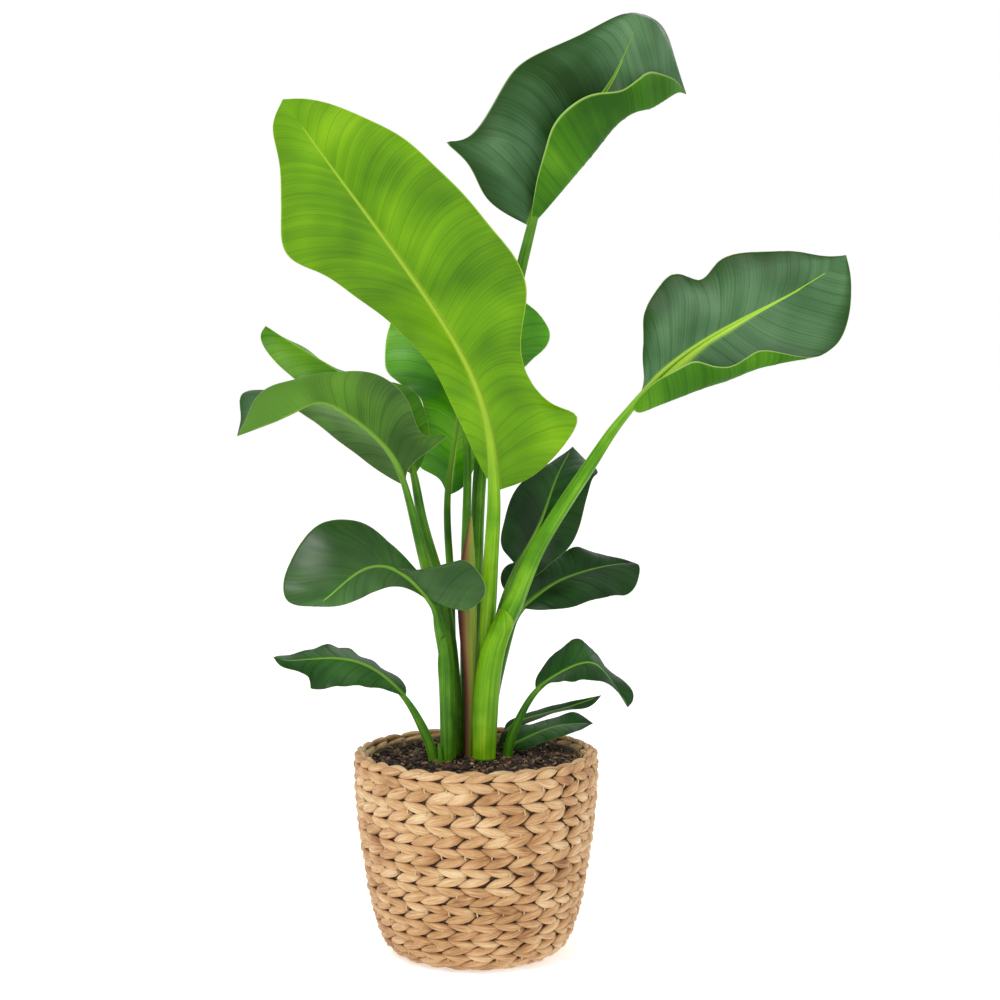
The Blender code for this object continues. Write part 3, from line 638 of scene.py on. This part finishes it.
def half_surface(midrib, margin, belly, across):
    """Columns from the midrib to a margin, on parabolas that pass through the belly."""
    t = across[None, :, None]
    pull = 2 * belly - (midrib + margin) / 2
    return (1 - t) ** 2 * midrib[:, None] + 2 * t * (1 - t) * pull[:, None] \
        + t ** 2 * margin[:, None]


def rib_fade(name, share):
    """How much of the midrib's girth is left at a share of the blade's length, from 1 to 0."""
    return np.clip(1 - share / RIB_REACH.get(name, 1.0), 0, 1)


def blade_surface(name, ruffle, ruffles, seed):
    """The blade's middle surface, its normals and its vein and leaf coordinates.

    A vein coordinate is the length along the midrib less VEIN_SWEEP half-widths times
    1 - (1 - distance across)^2, so side veins leave the midrib at a slant and level out.
    The creases are narrow grooves along it. Ruffles are a sine along the margin that fades
    inwards with the fourth power of the distance across."""
    shape = BLADES[name]
    midrib = smooth_through(shape["midrib"], BLADE_ROWS)
    sides = {side: margin_line(shape["midrib"], shape[side], shape["base"])
             for side in ("left", "right")}
    facing = unit(np.cross(sides["right"] - sides["left"], np.gradient(midrib, axis=0)))
    across = np.linspace(0, 1, HALF_COLUMNS + 1)
    halves, widths = {}, {}
    for side, margin in sides.items():
        width = np.linalg.norm(margin - midrib, axis=1, keepdims=True)
        belly = (midrib + margin) / 2 + facing * width * shape["camber"]
        if side + "_belly" in shape:
            belly = margin_line(shape["midrib"], shape[side + "_belly"], shape["base"] / 2)
        halves[side] = half_surface(midrib, margin, belly, across)
        widths[side] = width
    grid = np.concatenate((halves["left"][:, :0:-1], halves["right"]), axis=1)
    signed = np.concatenate((-across[:0:-1], across))
    half_width = np.where(signed < 0, widths["left"], widths["right"])
    length = np.linalg.norm(np.diff(midrib, axis=0), axis=1).sum()
    along = np.linspace(0, length, BLADE_ROWS)[:, None]
    vein = along - VEIN_SWEEP * half_width * (1 - (1 - abs(signed)) ** 2)
    normal = unit(np.cross(np.gradient(grid, axis=1), np.gradient(grid, axis=0)))
    fade = np.clip(half_width / 25, 0, 1)
    creases = np.exp(-(np.sin(pi * vein / PLEAT_PITCH) / CREASE_WIDTH) ** 2)
    folds = -CREASE_DEPTH * creases * np.clip(abs(signed) * 5, 0, 1)
    wander = seed + 0.7 * np.sin(along / length * 9 + seed)
    waves = ruffle * abs(signed) ** 4 * np.sin(2 * pi * ruffles * along / length + wander
                                               + np.sign(signed))
    ends = np.sin(pi * np.clip(along / length, 0, 1)) ** 0.5
    bent = grid + normal * ((folds + waves) * fade * ends)[..., None]
    bent += normal * (lumps(grid, TISSUE_SWELL, seed) * 0.5 * fade * ends * abs(signed))[..., None]
    normal = unit(np.cross(np.gradient(bent, axis=1), np.gradient(bent, axis=0)))
    leaf = np.stack(np.broadcast_arrays(signed[None, :], along / length), axis=-1)
    veins = np.stack((vein * MM, abs(signed) * half_width * MM), axis=-1)
    # Distance from the midrib over the pale strip's half-width, which tapers to the tip.
    left_over = rib_fade(name, along / length)
    strip = STALKS[name][0][3] * 1.4 * left_over ** 1.2 + 0.7
    beyond = 2 * (1 - np.clip(left_over * 12, 0, 1))
    rib = np.stack((np.clip(abs(signed) * half_width / strip + beyond, 0, 2), 0 * vein), axis=-1)
    return bent, normal, leaf, veins, rib


def leaf_blade(name, seed):
    """Both faces of a blade as one closed loop of columns, thick by the midrib and thin at
    the margin, so that the two faces can carry their own finish."""
    top, under, ruffle, ruffles, slot = LEAVES[name]
    bent, normal, leaf, veins, rib = blade_surface(name, ruffle, ruffles, seed)
    thickness = BLADE_HALF_THICKNESS * (1.25 - 0.85 * abs(leaf[..., :1]))
    upper, lower = bent + normal * thickness, bent - normal * thickness
    loop = np.concatenate((upper, lower[:, ::-1]), axis=1)
    uvs = {}
    for label, values in (("leaf", leaf), ("veins", veins), ("rib", rib)):
        uvs[label] = np.concatenate((values, values[:, ::-1], values[:, :1]), axis=1)
    make_piece("blade_of_" + name, loop[None], (TISSUES[top], TISSUES[under]),
               ("blade_" + name,), uvs=uvs, second_from=2 * HALF_COLUMNS + 1)


# ---------------------------------------------------------------- stalks
def tube(path, radii, sides, wrinkle, seed):
    """Rings of a tube along a path. Each ring stands square to the path, its first point at
    the back; wrinkle ripples it round and along."""
    way = unit(np.gradient(path, axis=0))
    side = unit(np.cross(way, (0.0, 1.0, 0.0)))
    outward = np.cross(side, way)
    a = np.linspace(0, 2 * pi, sides, endpoint=False)[None, :, None]
    along = np.linspace(0, 1, len(path))[:, None, None]
    ripple = 1 + wrinkle * (np.sin(5 * a + seed + 3 * np.sin(7 * along + seed))
                            + 0.6 * np.sin(9 * a + 2 * seed + 4 * along))
    size = radii[:, None, None] * ripple
    return path[:, None] + size * (np.cos(a) * outward[:, None] + np.sin(a) * side[:, None])


def leafstalk(name, seed):
    """A petiole from the soil up, carried on as the raised midrib of its blade. The midrib
    tapers as rib_fade^1.5 from the petiole's top."""
    stalk = np.array(STALKS[name][::-1], float)
    stalk[0, 2] = SOIL_TOP - ROOTED
    rib = np.array(BLADES[name]["midrib"], float)[1:]
    neck = STALKS[name][0][3]
    shares = np.linspace(0, 1, len(rib) + 1)[1:]
    shows = shares < RIB_REACH.get(name, 1.01)
    rib, shares = rib[shows], shares[shows]
    girth = neck * 0.8 * rib_fade(name, shares) ** 1.5 + 0.3
    route = np.vstack((stalk, np.column_stack((rib, girth))))
    line = smooth_through(route, STALK_RINGS)
    rings = tube(line[:, :3], line[:, 3], STALK_SIDES, 0.012, seed)
    length = np.linalg.norm(np.diff(line[:, :3], axis=0), axis=1).sum()
    stalk_length = np.linalg.norm(np.diff(stalk[:, :3], axis=0), axis=1).sum()
    run = np.linspace(0, 1, STALK_RINGS)
    # Half of the share map is the petiole and the other half the midrib.
    split = stalk_length / length
    share = np.where(run < split, 0.5 * run / split, 0.5 + 0.5 * (run - split) / (1 - split))
    skin = even_uv(STALK_RINGS, STALK_SIDES + 1, length)
    shares_map = np.stack((np.repeat(share[:, None], STALK_SIDES + 1, axis=1), skin[..., 0]),
                          axis=-1)
    finish = {"front": YOUNG_STALK, "right": MIDDLE_STALK}.get(name, STALK)
    make_piece("leafstalk_of_" + name, rings[None], (finish,), ("stalk_" + name,),
               uvs={"skin": skin, "share": shares_map})


def clasping_sheath(name, route, low, high, middle, open_from, finish, seed, swell=1.0):
    """A sheath hugging a stalk: part of a tube, all the way round at the bottom and drawn in
    to a pointed tongue at the top, where its half-angle falls as the square root of what is
    left. Both faces are one loop of columns."""
    line = smooth_through(np.array(route[::-1], float), 200)
    heights = np.interp(np.linspace(low, high, SHEATH_RINGS), line[:, 2], np.arange(200))
    line = np.column_stack([np.interp(heights, np.arange(200), line[:, i]) for i in range(4)])
    rise = np.linspace(0, 1, SHEATH_RINGS)[:, None]
    left = np.clip((1 - rise) / (1 - open_from), 0.0004, 1)
    edge = np.linspace(0, 1, SHEATH_COLUMNS)
    a = radians(middle) + (2 * edge[None, :] - 1) * radians(165) * np.sqrt(left)
    hug = line[:, 3, None] * swell + 0.5 + 0.5 * rise + 0.12 * np.sin(6 * a + seed)
    shape = []
    for offset in (0.45, -0.1):
        radius = hug + offset
        shape.append(np.stack((line[:, 0, None] + radius * np.sin(a),
                               line[:, 1, None] - radius * np.cos(a),
                               np.broadcast_to(line[:, 2, None], a.shape)), axis=-1))
    loop = np.concatenate((shape[0], shape[1][:, ::-1]), axis=1)
    around = np.concatenate((edge, edge[::-1], edge[:1]))
    skin = np.stack(np.broadcast_arrays(around[None, :], rise * (high - low) * MM), axis=-1)
    make_piece("sheath_on_" + name, loop[None], (finish,),
               uvs={"skin": skin, "share": np.zeros_like(skin)})


def new_leaf():
    """The rolled new leaf inside its drying sheath, drawn to a point, and the basal sprout."""
    for name, route, finish, slot in (("new_leaf_sheath", NEW_LEAF_SHEATH, SHEATH, "sheath"),
                                      ("sprout", SPROUT, STALK, "stalk")):
        route = np.array(route[::-1], float)
        route[0, 2] = SOIL_TOP - ROOTED
        line = smooth_through(route, TIP_RINGS)
        line[:, 3] = np.maximum(line[:, 3], 0.4)
        rings = tube(line[:, :3], line[:, 3], TIP_SIDES, 0.02, 3)
        skin = even_uv(TIP_RINGS, TIP_SIDES + 1, np.ptp(line[:, 2]))
        make_piece(name + "_skin", rings[None], (finish,), (name,),
                   uvs={"skin": skin, "share": np.zeros_like(skin)})


# ---------------------------------------------------------------- basket
def basket_skin():
    """The basket's line at equal steps: radius and height, outward normal, and length run."""
    flat = np.array([(r, 0.0, z) for r, z in BASKET_LINE], float)
    side = smooth_through(flat[:-1], FINE_STEPS)
    floor = np.linspace(side[-1], flat[-1], 120)[1:]
    line = np.vstack((side, floor))
    way = unit(np.gradient(line, axis=0))
    run = np.concatenate(([0.0], np.cumsum(np.linalg.norm(np.diff(line, axis=0), axis=1))))
    return run, line[:, 0], line[:, 2], -way[:, 2], way[:, 0]


def on_basket(angle, run, depth):
    """Points at an angle round the basket and a run along its line, sunk by depth."""
    runs, radii, heights, out_r, out_z = SKIN
    radius = np.interp(run, runs, radii) - depth * np.interp(run, runs, out_r)
    height = np.interp(run, runs, heights) - depth * np.interp(run, runs, out_z)
    return np.stack((radius * np.cos(angle), radius * np.sin(angle), height), axis=-1)


def half_row(run, pitch, upper, row):
    """Almond lobes along one half of a plait, in the basket's own skin coordinates.

    A lobe's half-width is (1 - |x|^2.2)^0.85 of its widest at share x of its half-length. It
    is turned by the slant and bowed towards its plait's edge. Its left tip lies over the lobe
    before it, and its right end dives under the lobe after it."""
    half_width, slant, offset = UPPER_LOBE if upper else LOWER_LOBE
    side = 1 if upper else -1
    radius = max(float(np.interp(run, *SKIN[:2])), 4.0)
    count = max(3, round(2 * pi * radius / LOBE_PITCH))
    shrink = min(1.0, 2 * pi * radius / count / LOBE_PITCH)
    low = pitch / TOP_PITCH
    rng = np.random.default_rng(20 + 2 * row + upper)
    x = np.sin(np.linspace(-pi / 2, pi / 2, LOBE_STATIONS))[None, :, None]
    a = np.linspace(0, 2 * pi, LOBE_SIDES, endpoint=False)[None, None, :]
    own = rng.uniform(-1, 1, (6, count, 1, 1))
    length = LOBE_LENGTH / 2 * shrink * (1 + 0.06 * own[0])
    taper = np.maximum(1 - abs(x) ** 2.2, 0.02) ** 0.85
    wide = half_width * low * taper * (1 + 0.09 * own[1])
    thick = LOBE_HALF_THICKNESS * taper ** 0.75 * (1 + 0.10 * own[2])
    # The stem was flattened before it was plaited, so its section is a little uneven.
    crease = 1 + 0.05 * np.sin(3 * a + 2 * x + 6 * own[3])
    lateral = np.sin(a) * wide * crease
    lift = np.cos(a) * thick * crease
    tilt = radians(slant) * low * side * (1 + 0.12 * own[5])
    bow = 0.8 * side * (1 - x ** 2)
    along = x * length * np.cos(tilt) - lateral * np.sin(tilt)
    up = x * length * np.sin(tilt) + lateral * np.cos(tilt) + bow
    under = LOBE_DIVE * np.clip(x, 0, 1) ** 2 + 1.6 * np.clip(-x, 0, 1) ** 3
    depth = LOBE_HALF_THICKNESS + 0.4 + under + TIP_RISE * x - lift
    middle = (np.arange(count)[:, None, None] + 0.31 * row) * 2 * pi / count
    middle = middle + 0.02 * own[4]
    grids = on_basket(middle + along / radius, run + offset * pitch - up, depth)
    grids[..., 2] = np.maximum(grids[..., 2], 0.2)      # pressed flat where it stands
    shape = (count, LOBE_STATIONS, LOBE_SIDES + 1)
    around = np.broadcast_to(np.linspace(0, 1, LOBE_SIDES + 1)[None, None, :], shape)
    down = np.broadcast_to(x * LOBE_LENGTH / 2 * MM + rng.uniform(0, 9, (count, 1, 1)), shape)
    # Painted shade in the share map: 1 in the open, falling to 0 where the right end dives under
    # the next lobe and towards 0.3 at the left tip.
    unshaded = np.broadcast_to(1 - np.clip(x, 0, 1) - 0.7 * np.clip(-x, 0, 1) ** 2, shape)
    chance = np.broadcast_to(rng.uniform(0, 1, (count, 1, 1)), shape)
    return grids, np.stack((around, down), axis=-1), np.stack((unshaded, chance), axis=-1)


def seam_stitches(run, seed):
    """Short twine stitches that tie one plait to the next, one per lobe."""
    radius = float(np.interp(run, *SKIN[:2]))
    count = round(2 * pi * radius / LOBE_PITCH)
    rng = np.random.default_rng(seed)
    middle = (np.arange(count) + rng.uniform(-0.15, 0.15, count))[:, None, None] * 2 * pi / count
    x = np.linspace(-1, 1, STITCH_STATIONS)[None, :, None]
    a = np.linspace(0, 2 * pi, 6, endpoint=False)[None, None, :]
    depth = 2.2 + 2.4 * x ** 2 - TWINE_RADIUS * np.cos(a)
    return on_basket(middle + (0.5 * x + TWINE_RADIUS * np.sin(a)) / radius,
                     run + 3.4 * x + 0 * a, depth + 0 * middle)


def basket():
    """Plaits from the inside of the rim, over it and down to the middle of the bottom. The
    first plait's middle on the outside lies 9 mm below the top."""
    runs, radii, heights = SKIN[:3]
    outside = int(np.argmax(heights))
    first = float(runs[outside:][np.searchsorted(-heights[outside:], 9 - RIM_HEIGHT)])
    pitches = np.maximum(TOP_PITCH - PITCH_FALL * np.arange(24), BASE_PITCH)
    places = first - pitches[0] + np.concatenate(([0.0], np.cumsum(pitches[:-1])))
    pitches = pitches[places < runs[-1] - 8]
    places = places[places < runs[-1] - 8]
    stitches = []
    for row, (place, pitch) in enumerate(zip(places, pitches)):
        pair = [half_row(place, pitch, upper, row) for upper in (True, False)]
        grids, skins, shares = (np.concatenate(part) for part in zip(*pair))
        piece = make_piece(f"plait_{row + 1:02d}", grids, (HYACINTH,),
                           uvs={"skin": skins, "share": shares})
        if row == 0:
            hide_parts("basket_wall", "basket_base")
        if 0 < row and np.interp(place, runs, radii) > 60:
            stitches.append(seam_stitches(place + 0.47 * pitch, 50 + row))
    make_piece("seam_stitches", np.concatenate(stitches), (TWINE,))
    # The strands' hidden parts, seen only as dark brown in the gaps: painted shade.
    run = np.linspace(runs[2], runs[-1] - 0.5, 140)[:, None]
    angle = np.linspace(0, 2 * pi, 180, endpoint=False)[None, :]
    ripple = 0.5 * np.sin(4 * pi * run / TOP_PITCH) * np.sin(30 * angle)
    near, far = (on_basket(angle + 0 * run, run + 0 * angle, depth + ripple)
                 for depth in (6.2, 7.4))
    make_piece("plait_core", np.concatenate((near, far[::-1]))[None], (SHADOWED_CORE,),
               wrap=(True, True), caps=False)


def liner():
    """The film cup inside the weave, its free top edge crinkled and a little uneven."""
    angle = np.linspace(0, 2 * pi, 240, endpoint=False)[None, :]
    wall_r, height = np.array(LINER_LINE).T[:, :, None]
    loose = np.clip((height - 180) / 20, 0, 1)
    crinkle = loose * (0.5 * np.sin(61 * angle) + 0.4 * np.sin(97 * angle + 2)
                       + 0.5 * np.sin(23 * angle + 1))
    r = wall_r + crinkle - 0.4
    z = height - loose * 0.9 * (1 + np.sin(17 * angle) * np.sin(5 * angle + 1))
    film = [np.stack(((r - inset) * np.cos(angle), (r - inset) * np.sin(angle), z + inset * 0.5),
                     axis=-1) for inset in (0.0, 0.5)]
    loop = np.concatenate((film[0], film[1][::-1]), axis=0)
    make_piece("liner_film", loop[None], (FILM,), ("basket_liner",))


# ---------------------------------------------------------------- soil
def soil():
    """A settled, lumpy surface over a closed body that fills the liner."""
    angle = np.linspace(0, 2 * pi, 256, endpoint=False)[None, :]
    radius = np.linspace(0.3, SOIL_RADIUS - 1.0, 90)[:, None]
    ground = np.stack(np.broadcast_arrays(radius * np.cos(angle), radius * np.sin(angle), 0.0),
                      axis=-1)
    relief = 1.3 * lumps(ground, 26, 1) + 0.9 * lumps(ground, 9, 2) + 0.6 * lumps(ground, 4, 3)
    ground[..., 2] = SOIL_TOP - 2.0 + relief - EDGE_DROP * (radius / SOIL_RADIUS) ** 6
    wall_r, wall_z = np.array(SOIL_LINE).T[:, :, None]
    wall = np.stack(np.broadcast_arrays(wall_r * np.cos(angle), wall_r * np.sin(angle), wall_z),
                    axis=-1)
    make_piece("soil_surface", np.concatenate((ground, wall))[None], (SOIL,),
               ("potting_soil",))


def scatter(name, count, sizes, finish, seed, where=None, heap=1.5):
    """Many small lumpy grains: a sphere of few faces, stretched to random half-sizes, turned
    at random about +Z and tilted, lying on the soil."""
    rng = np.random.default_rng(seed)
    if where is None:
        reach = np.sqrt(rng.uniform(0.0, 1.0, count)) * (SOIL_RADIUS - 3)
        bearing = rng.uniform(0, 2 * pi, count)
        where = np.stack((reach * np.cos(bearing), reach * np.sin(bearing)), axis=-1)
    low, high = np.array(sizes[0], float), np.array(sizes[1], float)
    half = rng.uniform(0, 1, (count, 1)) ** 1.6 * (high - low) + low
    polar = np.linspace(0.25, pi - 0.25, GRAIN_RINGS)[:, None]
    turn = np.linspace(0, 2 * pi, GRAIN_SIDES, endpoint=False)[None, :]
    ball = np.stack(np.broadcast_arrays(np.sin(polar) * np.cos(turn),
                                        np.sin(polar) * np.sin(turn), np.cos(polar)), axis=-1)
    grains = ball[None] * rng.uniform(0.72, 1.15, (count, GRAIN_RINGS, GRAIN_SIDES, 1)) \
        * half[:, None, None]
    yaw, tilt = rng.uniform(0, 2 * pi, count), rng.uniform(-0.6, 0.6, count)
    cy, sy, ct, st = np.cos(yaw), np.sin(yaw), np.cos(tilt), np.sin(tilt)
    turn_it = np.stack((np.stack((cy * ct, -sy, cy * st), -1), np.stack((sy * ct, cy, sy * st), -1),
                        np.stack((-st, 0 * st, ct), -1)), axis=-2)
    grains = np.einsum("nij,nrcj->nrci", turn_it, grains)
    grains[..., :2] += where[:, None, None]
    drop = EDGE_DROP * (np.linalg.norm(where, axis=1) / SOIL_RADIUS) ** 6
    grains[..., 2] += (SOIL_TOP - 1.2 + rng.uniform(-0.6, heap, count) - drop)[:, None, None]
    share = np.broadcast_to(rng.uniform(0, 1, count)[:, None, None, None],
                            (count, GRAIN_RINGS, GRAIN_SIDES + 1, 2))
    make_piece(name, grains, (finish,), uvs={"share": share})


# ---------------------------------------------------------------- set
def studio():
    """A pale floor, soft lights from above and both sides, and the camera."""
    floor = bpy.data.meshes.new("floor")
    floor.from_pydata([(-12, -12, 0), (12, -12, 0), (12, 12, 0), (-12, 12, 0)], [],
                      [(0, 1, 2, 3)])
    ground = bpy.data.objects.new("floor", floor)
    bpy.context.scene.collection.objects.link(ground)
    paper, tree, shader = new_material("matt white paper", Roughness=0.95,
                                       Emission_Strength=0.50)
    wire(tree, shader, {"Base Color": linear("#EDEDED"), "Emission Color": linear("#FFFFFF")})
    floor.materials.append(paper)
    bpy.context.scene.view_settings.view_transform = "Standard"
    world = bpy.data.worlds.new("studio")
    bpy.context.scene.world = world
    world.use_nodes = True
    # The room is seen white and lights the plant a little less than it is seen.
    glow = world.node_tree.nodes["Background"]
    seen = add(world.node_tree, "LightPath").outputs["Is Camera Ray"]
    level = add(world.node_tree, "MapRange", {"Value": seen, "To Min": 0.74, "To Max": 1.0})
    wire(world.node_tree, glow, {"Strength": level, "Color": linear("#FFFFFF")})
    for name, place, aim, size, power in (
            ("key", (-1.1, -1.5, 2.2), (0, 0, 0.45), 0.9, 24),
            ("fill", (1.6, -1.2, 1.3), (0, 0, 0.4), 1.4, 3),
            ("back", (0.6, 1.6, 2.0), (0, 0, 0.6), 1.2, 6)):
        lamp = bpy.data.lights.new(name, "AREA")
        lamp.size = size
        lamp.energy = power
        holder = bpy.data.objects.new(name, lamp)
        away = np.array(place, float) - np.array(aim, float)
        bearing = np.arctan2(away[0], -away[1])
        holder.rotation_euler = (np.arctan2(np.hypot(away[0], away[1]), away[2]), 0.0,
                                 float(bearing))
        holder.location = place
        bpy.context.scene.collection.objects.link(holder)
    lens = bpy.data.cameras.new("camera")
    lens.lens, lens.sensor_width = 72.18, 36.0
    camera = bpy.data.objects.new("camera", lens)
    camera.location = (0.024, -2.0, 0.606)
    camera.rotation_euler = (radians(90 - 4.28), 0.0, 0.0)
    bpy.context.scene.collection.objects.link(camera)
    bpy.context.scene.camera = camera


# ---------------------------------------------------------------- build
studio()
TISSUES = {tone: leaf_tissue(tone) for tone in TISSUE}
STALK = stalk_skin("green petiole skin", "#265604", "#42780C", "#70A428", "#6E9C2C")
YOUNG_STALK = stalk_skin("young petiole skin", "#4E8A04", "#70A80A", "#A0C828", "#94B82A")
MIDDLE_STALK = stalk_skin("half-grown petiole skin", "#3C7204", "#58940A", "#86B824", "#9CC83A")
HYACINTH = hyacinth_fibre()
# Jute twine: pale, twisted, matt.
TWINE = mottled("jute twine", ((0.35, "#B79C72"), (0.65, "#E3CFA6")), 900.0, 0.8)
# Polyethylene film gone cloudy with damp.
FILM = mottled("cloudy polyethylene film", ((0.3, "#6B5638"), (0.7, "#A08A64")), 160.0, 0.42)
SOIL = mottled("damp potting compost", ((0.35, "#120A07"), (0.55, "#2A1810"),
                                        (0.75, "#4A2F20")), 420.0, 0.92, 1.0, 0.002)
BARK = bark_material()
# Expanded perlite: white, dry, rough.
PERLITE = mottled("expanded perlite", ((0.3, "#CFC8BC"), (0.7, "#F7F4EE")), 900.0, 0.9)
# Tumbled river pebble: tan, fine grained.
PEBBLE = mottled("tan river pebble", ((0.3, "#9A6F3C"), (0.7, "#D9B27A")), 300.0, 0.55)
SHEATH = sheath_skin()
# The inner strands, never lit: the same stem, painted dark brown as the shade they lie in.
SHADOWED_CORE = mottled("water hyacinth core strands", ((0.35, "#2A1A0E"), (0.65, "#5A3B20")), 260.0, 0.9)
SKIN = basket_skin()

for seed, leaf_name in enumerate(LEAVES):
    leaf_blade(leaf_name, seed)
    leafstalk(leaf_name, seed)
new_leaf()
clasping_sheath("right_stalk", STALKS["right"], 196.5, 350, -72, 0.84, YOUNG_STALK,
                1, 1.01)
clasping_sheath("left_stalks", STALKS["twisted"], 196.5, 322, 40, 0.45, STALK, 2, 1.12)
basket()
liner()
soil()
scatter("bark_chips", 1500, ((1.2, 0.8, 0.5), (6.5, 3.4, 1.7)), BARK, 21)
scatter("bark_crumbs", 1800, ((0.6, 0.5, 0.4), (1.8, 1.4, 1.0)), BARK, 22, heap=2.2)
scatter("perlite_grains", 60, ((0.5, 0.5, 0.4), (1.2, 1.1, 0.9)), PERLITE, 23, heap=2.6)
scatter("pebbles", 2, ((3.4, 2.4, 1.7), (3.8, 2.8, 1.9)), PEBBLE, 24,
        where=np.array([(-3.5, -44.0), (1.0, -74.0)]), heap=4.5)
